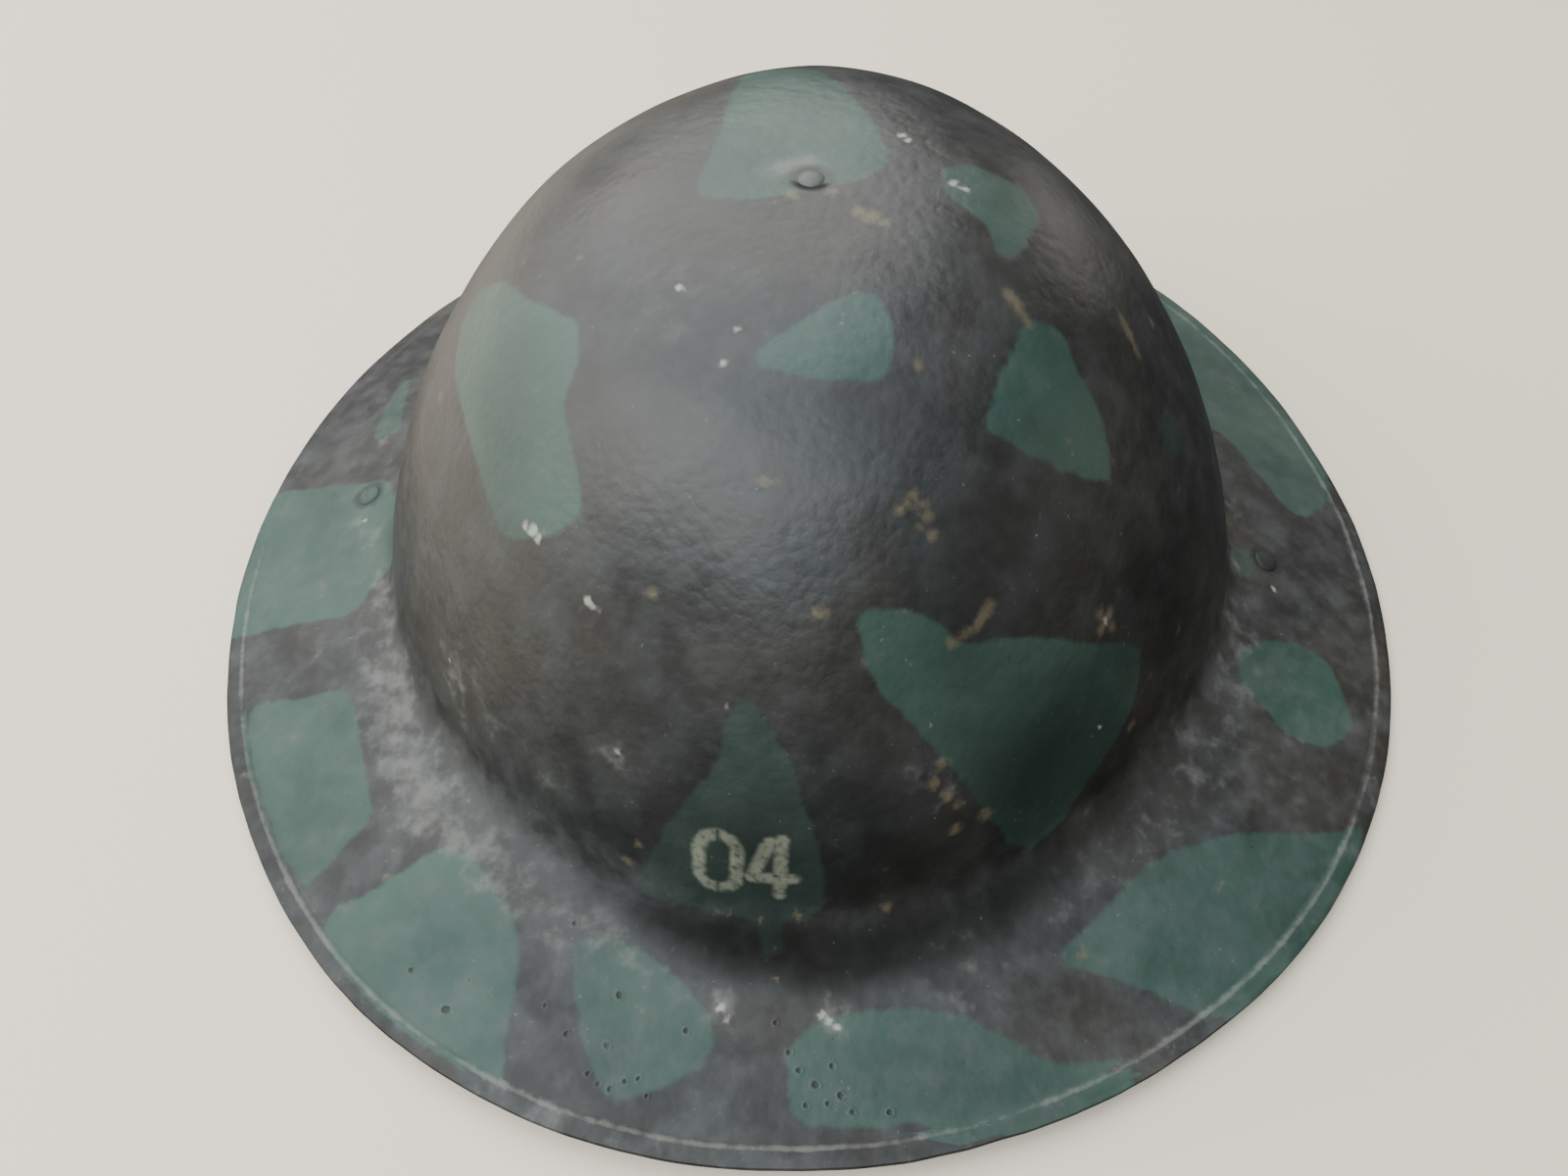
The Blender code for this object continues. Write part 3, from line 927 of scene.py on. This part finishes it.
def numberField(finish):
    # mm inside the number's strokes
    centre, normal, _ = spotOn(*numberMark["pixel"])
    across = (Vector((1, 0, 0)) - normal * normal.x).normalized()
    rise = normal.cross(across)
    offset = finish.vector("SUBTRACT", finish.place, tuple(centre))
    u = finish.vector("DOT_PRODUCT", offset, tuple(across), output="Value") * 1000
    v = finish.vector("DOT_PRODUCT", offset, tuple(rise), output="Value") * 1000
    level = finish.node("ShaderNodeCombineXYZ", {}, {0: u, 1: v, 2: 0.0})
    lower, upper, radius = numberMark["ring"]
    half = numberMark["halfStroke"]
    ring = half - (finish.strokeDistance(level, Vector((*lower, 0)), Vector((*upper, 0))) - radius).size()
    field = ring.smaller((u - lower[0]).size() - numberMark["ringGap"] / 2)
    for start, end in numberMark["strokes"]:
        field = field.larger(half - finish.strokeDistance(level, Vector((*start, 0)), Vector((*end, 0))))
    return field.smaller(12 - finish.distance(centre) * 700)  # nothing on the far side


def paintLayers(finish, marks=True):
    # colour, roughness and height of the paint over a piece
    broad = finish.grain(0.030, detail=2)
    cloud = finish.grain(0.010, detail=3, roughness=0.55)
    blotch = finish.grain(0.0046, detail=3, roughness=0.5)
    fine = finish.grain(0.0015, detail=2, roughness=0.5)
    speck = finish.grain(0.0010, detail=1)
    ragged = (cloud - 0.5) * 1.6 + (blotch - 0.5) * 1.6 + (fine - 0.5) * 0.8
    shadeLevel = finish.attribute("paintedShade")
    dustAndSheenLevel = finish.attribute("dustAndSheen")

    teal = (finish.attribute("patchDepth") + ragged).between(-paint["patchEdge"], paint["patchEdge"])
    teal = teal * finish.attribute("patchStrength") * (0.72 + 0.4 * broad)
    base = finish.colour(cloud.between(0.35, 0.72) * 0.55, paint["dark"], paint["darkWorn"])
    brown = finish.grain(0.05, detail=3, distortion=0.4).between(0.5, 0.66)
    base = finish.colour(brown * 0.3, base, paint["brown"])
    green = finish.colour(broad.between(0.3, 0.7), paint["teal"], paint["tealPale"])
    colour = finish.colour(teal, base, green)
    # painted shade: darker where shade falls, most in the crease at the bowl's foot
    colour = finish.colour(shadeLevel * 0.8, colour, paint["grimeAndShade"])

    # a thin film of dust in soft blotches over everything, and thick in the spots that hold it; two of those
    # runs are a painted reflection on the bowl's left wall and a painted highlight behind the crown rivet
    onBrim = finish.attribute("along").between(*paint["brim"])
    film = blotch.between(0.40, 0.70) * 0.5 + cloud.between(0.38, 0.7) * 0.5
    film = film * (0.09 + 0.21 * onBrim) * (1 - 0.9 * shadeLevel)
    colour = finish.colour(film, colour, paint["film"])
    dustAndSheenClots = (dustAndSheenLevel * 0.9 + (blotch - 0.5) * 1.7 + (fine - 0.5) * 0.6).between(0.3, 1.2)
    dustAndSheenClots = dustAndSheenClots * dustAndSheenLevel.between(0.03, 0.4)
    colour = finish.colour(dustAndSheenClots * 0.42 + dustAndSheenLevel * 0.11, colour, paint["dustAndSheen"])

    # flecks where the paint has gone, everywhere
    flecks = blotch.between(0.66, 0.74) * broad.between(0.5, 0.66)
    colour = finish.colour(flecks * 0.5, colour, paint["rust"])
    pin = speck.between(0.70, 0.80) * cloud.between(0.46, 0.64)
    colour = finish.colour(pin * 0.15, colour, paint["chipAndGlint"])
    pock = speck.between(0.30, 0.22) * cloud.between(0.54, 0.40)
    colour = finish.colour(pock * 0.45, colour, paint["grimeAndShade"])

    sockets = {"Vector": finish.place, "Scale": paint["lumps"]}
    lumps = finish.node("ShaderNodeTexVoronoi", {}, sockets, output="Distance")
    height = blotch * 0.8 + fine * 0.3 + cloud * 0.9 - lumps * 0.36
    roughness = paint["roughness"] + onBrim * 0.12 + 0.14 * (cloud - 0.5) + 0.12 * (blotch - 0.5)
    roughness = roughness + dustAndSheenClots * 0.2 + shadeLevel * 0.15

    if marks:
        shaky = (blotch - 0.5) * 2.2 + (fine - 0.5) * 2.2
        pale = (spotField(finish, paleChipsAndGlints).larger(scratchField(finish, False)) + shaky).between(-0.6, 0.7)
        rusty = (spotField(finish, rustChips).larger(scratchField(finish, True)) + shaky).between(-1.2, 1.1)
        pitDepth = spotField(finish, darkPits) + shaky * 0.5
        pits = pitDepth.between(-0.3, 0.45)
        rims = pitDepth.between(-0.9, -0.2) * (1 - pits)
        colour = finish.colour(rusty * 0.5, colour, paint["rust"])
        # pale chips and scratches, with a few painted glints among them
        colour = finish.colour(pale * 0.62, colour, paint["chipAndGlint"])
        colour = finish.colour(rims * 0.06, colour, paint["dustAndSheen"])
        colour = finish.colour(pits * 0.75, colour, paint["pit"])
        number = (numberField(finish) + shaky * 0.35).between(-0.75, 0.65)
        number = number * (0.3 + 0.9 * cloud) * fine.between(0.10, 0.6)
        colour = finish.colour(number.smaller(1.0) * 0.36, colour, paint["number"])
        height = height - pits * 1.6 + rims * 0.5
    return colour, roughness, height, shadeLevel.between(0.1, 0.95).larger(onBrim * 0.35)


def bump(finish, height, distance=paint["bumpHeight"], strength=paint["bumpStrength"]):
    sockets = {"Height": height, "Distance": distance, "Strength": strength}
    return finish.node("ShaderNodeBump", {}, sockets, output="Normal")


def shellFinish():
    finish = Finish("agedShellPaint")
    colour, roughness, height, matt = paintLayers(finish)
    inside = finish.attribute("inside").between(0.3, 0.7)
    colour = finish.colour(inside * 0.6, colour, paint["inside"])
    # painted shade round the rivets, where they sit in their dimples
    nearest = None
    for seat in rivetSeats.values():
        near = finish.distance(seat) * 1000
        nearest = near if nearest is None else nearest.smaller(near)
    ring = (nearest + (finish.grain(0.002) - 0.5) * 2).between(5.6, 3.4)
    colour = finish.colour(ring * 0.7, colour, paint["ring"])
    # a painted shadow on the front side of the crown's rivet, which also takes its shine away
    crown = rivetSeats["crown_rivet"]
    front = (finish.axis("Y") - crown.y) * 1000
    crownRivetShadow = (finish.distance(crown) * 1000).between(4.9, 3.2) * front.between(-0.6, -2.2)
    colour = finish.colour(crownRivetShadow * 0.7, colour, paint["grimeAndShade"])
    return finish.finish(colour, roughness, bump(finish, height), matt=matt.larger(crownRivetShadow * 0.8))


def stripFinish():
    finish = Finish("agedStripPaint")
    colour, roughness, height, matt = paintLayers(finish, marks=False)
    fine = finish.grain(0.0020, detail=3, roughness=0.65)
    lump = finish.grain(0.0055, detail=3, roughness=0.6)
    broad = finish.grain(0.040, detail=2)
    # the ridge is rubbed pale, least at the back left
    backLeft = finish.axis("X").between(-0.05, -0.11) * finish.axis("Y").between(-0.03, 0.02)
    rubbed = finish.attribute("ridge") * (1 - 0.8 * backLeft)
    worn = (rubbed * (0.25 + 1.1 * broad) + (lump - 0.5) * 1.0 + (fine - 0.5) * 0.7).between(0.45, 1.05)
    worn = worn * rubbed.between(0.05, 0.5)
    mottle = ((lump - 0.5) * 1.6 + (fine - 0.5) * 1.2 + finish.attribute("dustAndSheen") * 0.9).between(0.1, 0.75)
    colour = finish.colour(mottle * 0.30, colour, strip["mottle"])
    colour = finish.colour(worn * 0.36, colour, strip["rubbed"])
    return finish.finish(colour, roughness, bump(finish, height), matt=matt)


def rivetFinish():
    finish = Finish("agedRivetPaint")
    cloud = finish.grain(0.0016, detail=3, roughness=0.6)
    colour = finish.colour(cloud.between(0.35, 0.6), rivets["green"], rivets["greenPale"])
    colour = finish.colour(cloud.between(0.62, 0.72) * 0.4, colour, paint["rust"])
    crown = finish.axis("Z").between(0.08, 0.09)
    colour = finish.colour(crown, colour, rivets["crown"])
    colour = finish.colour(finish.axis("X").between(0.03, 0.08) * 0.85, colour, rivets["right"])
    roughness = 0.58 - crown * 0.1 + 0.2 * (cloud - 0.5)
    return finish.finish(colour, roughness, bump(finish, cloud, 0.0001, 0.5), specular=0.4)


def wear(piece, material, slot, *nodes):
    piece.data.materials.clear()
    piece.data.materials.append(material)
    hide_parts(*nodes)
    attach(piece, "root")


wear(shellPiece, shellFinish(), "shell_paint", "shell")
wear(stripPiece, stripFinish(), "rim_paint", "rim_binding")
rivetMaterial = rivetFinish()
for node, piece in rivetPieces.items():
    wear(piece, rivetMaterial, "rivet_paint", node)
print("finishes")


# Floor and lights
studio = {
    "floor": (0.70, 0.60, 0.48),
    "floorReach": 1.6,
    "floorSplit": -0.19,  # only the floor left of this shows in the gloss, so the other lower walls stay dark
    "world": (0.80, 0.86, 0.95, 0.06),  # colour and strength
    "backdrop": (1.0, 0.98, 0.94, 1.0),
    "lightHeight": 0.05,  # the point that the lights face
    "lights": {
        # bearing clockwise from +Y and height above the floor in degrees, distance, width, depth, watts, colour
        "window": (-82, 32, 1.4, 2.0, 0.9, 21, (0.98, 0.99, 0.97)),
        "frontLeft": (-152, 47, 1.4, 1.8, 1.0, 31, (0.86, 0.96, 1.0)),
        "frontRight": (128, 56, 1.4, 1.1, 0.7, 4.0, (0.88, 0.97, 1.0)),
        "lowLeft": (-84, 7, 2.4, 3.2, 0.5, 14, (1.0, 0.96, 0.84)),
        "lowRight": (98, 7, 2.4, 2.4, 0.5, 4.5, (1.0, 0.86, 0.66)),
        "back": (-20, 35, 1.5, 1.2, 0.7, 12, (1.0, 0.99, 0.93)),
        "backRight": (38, 13, 1.5, 0.7, 0.4, 2.6, (1.0, 0.94, 0.84)),
        "ceiling": (-30, 74, 1.3, 1.3, 1.1, 18, (0.92, 0.98, 1.0)),
    },
}


def floorFinish():
    finish = Finish("paleFloor")
    return finish.finish((*studio["floor"], 1), 0.6, None, specular=0.3)


def addFloor(name, mirrored):
    # half of a round floor: mirrored says whether it shows in the helmet's gloss
    bm = bmesh.new()
    bmesh.ops.create_circle(bm, cap_ends=True, radius=studio["floorReach"], segments=128)
    bmesh.ops.bisect_plane(
        bm,
        geom=bm.verts[:] + bm.edges[:] + bm.faces[:],
        plane_co=(studio["floorSplit"], 0, 0),
        plane_no=(1, 0, 0),
        clear_inner=not mirrored,
        clear_outer=mirrored,
    )
    floor = addObject(name, bm)
    floor.data.materials.append(floorFinish())
    floor.visible_glossy = mirrored


def addLight(name, bearing, lift, distance, width, depth, watts, colour):
    data = bpy.data.lights.new(name, "AREA")
    data.shape = "RECTANGLE"
    data.size, data.size_y = width, depth
    data.energy = watts
    data.color = colour
    light = bpy.data.objects.new(name, data)
    bpy.context.scene.collection.objects.link(light)
    bearing, lift = math.radians(bearing), math.radians(lift)
    direction = Vector((math.sin(bearing) * math.cos(lift), math.cos(bearing) * math.cos(lift), math.sin(lift)))
    light.visible_camera = False
    light.location = direction * distance + Vector((0, 0, studio["lightHeight"]))
    light.rotation_euler = direction.to_track_quat("Z", "Y").to_euler()


def addWorld():
    # dim light from all round, and behind the floor a plain pale backdrop that gives no light
    world = bpy.data.worlds.new("studio")
    world.use_nodes = True
    nodes, links = world.node_tree.nodes, world.node_tree.links
    dim, pale = nodes["Background"], nodes.new("ShaderNodeBackground")
    for background, (*colour, strength) in ((dim, studio["world"]), (pale, studio["backdrop"])):
        background.inputs[0].default_value = (*colour, 1)
        background.inputs[1].default_value = strength
    choice = nodes.new("ShaderNodeMixShader")
    links.new(nodes.new("ShaderNodeLightPath").outputs["Is Camera Ray"], choice.inputs[0])
    links.new(dim.outputs[0], choice.inputs[1])
    links.new(pale.outputs[0], choice.inputs[2])
    links.new(choice.outputs[0], nodes["World Output"].inputs[0])
    bpy.context.scene.world = world


addFloor("floorLeft", True)
addFloor("floorRight", False)
for name, values in studio["lights"].items():
    addLight(name, *values)
addWorld()
print("studio")
